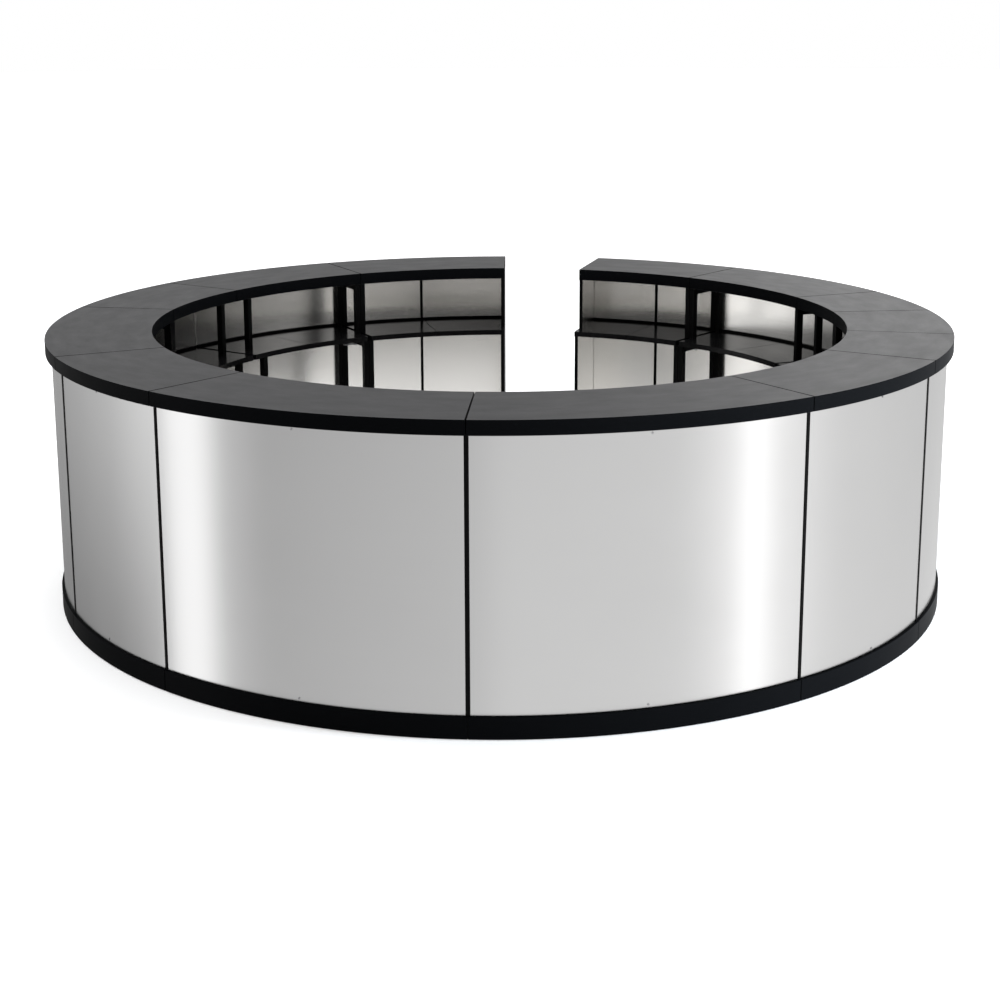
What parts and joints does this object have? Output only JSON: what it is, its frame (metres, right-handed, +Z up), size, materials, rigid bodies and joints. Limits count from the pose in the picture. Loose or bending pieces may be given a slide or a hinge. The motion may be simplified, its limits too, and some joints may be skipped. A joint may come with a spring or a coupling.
{
  "type": "mirrored ring bar counter",
  "caption": "Ring-shaped bar counter in curved units with mirror fronts, black top and plinth, mirror-lined bays on the staff side and one entrance gap.",
  "frame": {"origin": "centre of the ring, at the floor", "axes": "+Z up; -Y towards the middle of the front, opposite the entrance; +X to the right as seen from the front"},
  "size_m": [3.9998, 3.9999, 1.187],
  "materials": {
    "counter_top": "satin black laminate on board",
    "worktop": "gloss black laminate on board",
    "shelf": "gloss black laminate on board",
    "front_mirror": "polished mirror facing",
    "lining_mirror": "polished mirror facing",
    "carcass": "black painted timber",
    "plinth": "black laminate on board",
    "trim": "matte black",
    "glide": "matte black",
    "pad": "matte black",
    "fitting_steel": "zinc plated",
    "screw_steel": "zinc plated"
  },
  "bodies": {
    "bar": {"top_01": "counter_top", "top_02": "counter_top", "top_03": "counter_top", "top_04": "counter_top", "top_05": "counter_top", "top_06": "counter_top", "top_07": "counter_top", "top_08": "counter_top", "top_09": "counter_top", "top_10": "counter_top", "top_11": "counter_top", "top_12": "counter_top", "front_panel_01": "front_mirror", "front_panel_02": "front_mirror", "front_panel_03": "front_mirror", "front_panel_04": "front_mirror", "front_panel_05": "front_mirror", "front_panel_06": "front_mirror", "front_panel_07": "front_mirror", "front_panel_08": "front_mirror", "front_panel_09": "front_mirror", "front_panel_10": "front_mirror", "front_panel_11": "front_mirror", "front_panel_12": "front_mirror", "front_posts": "carcass", "lining_posts": "carcass", "lower_inner_posts": "carcass", "upper_inner_posts": "carcass", "base_cross_rails": "carcass", "worktop_cross_rails": "carcass", "top_cross_rails": "carcass", "front_rails": "carcass", "lining_rails": "carcass", "worktops": "worktop", "upper_linings": "lining_mirror", "lower_linings": "lining_mirror", "base_shelves": "shelf", "front_plinths": "plinth", "inner_plinths": "plinth", "end_panel_left": "carcass", "end_panel_right": "carcass", "lining_trims": "trim", "lining_strips": "trim", "glide_feet": "glide", "seam_pads": "pad", "hook_pivots": "fitting_steel", "hook_studs": "fitting_steel", "top_screws": "screw_steel", "panel_screws": "screw_steel"},
    "seam_hook_01": {"seam_hook_01": "fitting_steel"},
    "seam_hook_02": {"seam_hook_02": "fitting_steel"},
    "seam_hook_03": {"seam_hook_03": "fitting_steel"},
    "seam_hook_04": {"seam_hook_04": "fitting_steel"},
    "seam_hook_05": {"seam_hook_05": "fitting_steel"},
    "seam_hook_06": {"seam_hook_06": "fitting_steel"},
    "seam_hook_07": {"seam_hook_07": "fitting_steel"},
    "seam_hook_08": {"seam_hook_08": "fitting_steel"},
    "seam_hook_09": {"seam_hook_09": "fitting_steel"},
    "seam_hook_10": {"seam_hook_10": "fitting_steel"},
    "seam_hook_11": {"seam_hook_11": "fitting_steel"}
  },
  "joints": [
    {"name": "seam_hook_01_swing", "type": "hinge", "parent": "bar", "child": "seam_hook_01", "pos_m": [-0.74374, 1.4167, 0.8037], "axis": [0, 0, 1], "range_deg": [0, 90]},
    {"name": "seam_hook_02_swing", "type": "hinge", "parent": "bar", "child": "seam_hook_02", "pos_m": [-1.34494, 0.8668, 0.8037], "axis": [0, 0, 1], "range_deg": [0, 90]},
    {"name": "seam_hook_03_swing", "type": "hinge", "parent": "bar", "child": "seam_hook_03", "pos_m": [-1.57326, 0.29162, 0.8037], "axis": [0, 0, 1], "range_deg": [0, 90]},
    {"name": "seam_hook_04_swing", "type": "hinge", "parent": "bar", "child": "seam_hook_04", "pos_m": [-1.45016, -0.67618, 0.8037], "axis": [0, 0, 1], "range_deg": [0, 90]},
    {"name": "seam_hook_05_swing", "type": "hinge", "parent": "bar", "child": "seam_hook_05", "pos_m": [-1.04976, -1.20756, 0.8037], "axis": [0, 0, 1], "range_deg": [0, 90]},
    {"name": "seam_hook_06_swing", "type": "hinge", "parent": "bar", "child": "seam_hook_06", "pos_m": [-0.10887, -1.59635, 0.8037], "axis": [0, 0, 1], "range_deg": [0, 90]},
    {"name": "seam_hook_07_swing", "type": "hinge", "parent": "bar", "child": "seam_hook_07", "pos_m": [0.90395, -1.32025, 0.8037], "axis": [0, 0, 1], "range_deg": [0, 90]},
    {"name": "seam_hook_08_swing", "type": "hinge", "parent": "bar", "child": "seam_hook_08", "pos_m": [1.38567, -0.80006, 0.8037], "axis": [0, 0, 1], "range_deg": [0, 90]},
    {"name": "seam_hook_09_swing", "type": "hinge", "parent": "bar", "child": "seam_hook_09", "pos_m": [1.59373, 0.1422, 0.8037], "axis": [0, 0, 1], "range_deg": [0, 90]},
    {"name": "seam_hook_10_swing", "type": "hinge", "parent": "bar", "child": "seam_hook_10", "pos_m": [1.4938, 0.57338, 0.8037], "axis": [0, 0, 1], "range_deg": [0, 90]},
    {"name": "seam_hook_11_swing", "type": "hinge", "parent": "bar", "child": "seam_hook_11", "pos_m": [1.02853, 1.22569, 0.8037], "axis": [0, 0, 1], "range_deg": [0, 90]}
  ]
}
